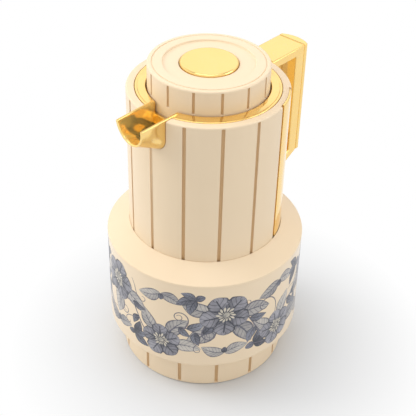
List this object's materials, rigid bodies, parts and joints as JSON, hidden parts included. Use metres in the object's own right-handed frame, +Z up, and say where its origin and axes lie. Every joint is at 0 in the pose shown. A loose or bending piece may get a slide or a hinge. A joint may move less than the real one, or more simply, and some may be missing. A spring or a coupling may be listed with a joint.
{
  "type": "vacuum jug",
  "caption": "Glass-lined vacuum jug with a fluted neck, plated collar and spout, closed handle, turn-out stopper and press-to-pour button.",
  "frame": {"origin": "centre of the base on the body's axis, at table level", "axes": "+Z up along the body's axis, spout along -X, handle along +X"},
  "size_m": [0.1802, 0.15, 0.251],
  "materials": {
    "cream_plastic": "satin",
    "printed_sleeve": "satin, printed with a grey-blue floral band",
    "gold_plate": "mirror-bright gold plating on plastic",
    "white_plastic": "satin",
    "rubber": "matte",
    "silicone": "matte",
    "steel": "bright",
    "silvered_glass": "silvered"
  },
  "bodies": {
    "case": {"base_pad": "rubber", "base_cover": "cream_plastic", "drum_casing": "cream_plastic", "decor_sleeve": "printed_sleeve", "neck_casing": "cream_plastic", "trim_strip_left": "gold_plate", "trim_strip_right": "gold_plate", "spout_collar": "gold_plate", "handle_frame": "gold_plate", "handle_back_plate": "gold_plate", "handle_screws": "steel", "mouth_ring": "white_plastic", "mouth_gasket": "silicone", "liner_outer": "silvered_glass", "liner_inner": "silvered_glass", "liner_spacers": "rubber", "liner_centering_ring": "rubber", "liner_cushion": "rubber"},
    "seal": {"stopper_gasket": "silicone"},
    "stopper": {"stopper_body": "white_plastic", "cap_shell": "cream_plastic", "button_spring": "steel"},
    "button": {"button_disc": "gold_plate", "button_plunger": "white_plastic", "valve_stem": "steel", "valve_plate": "white_plastic", "valve_gasket": "silicone"}
  },
  "joints": [
    {"name": "stopper_lift", "type": "slide", "parent": "case", "child": "seal", "axis": [0, 0, 1], "range_m": [0, 0.09]},
    {"name": "stopper_turn", "type": "hinge", "parent": "seal", "child": "stopper", "pos_m": [0, 0, 0.2145], "axis": [0, 0, 1], "range_deg": [0, 360]},
    {"name": "button_press", "type": "slide", "parent": "stopper", "child": "button", "axis": [0, 0, -1], "range_m": [0, 0.003], "stiffness_N_per_m": 600, "springref_m": -0.006, "deforming": ["button_spring"]}
  ]
}
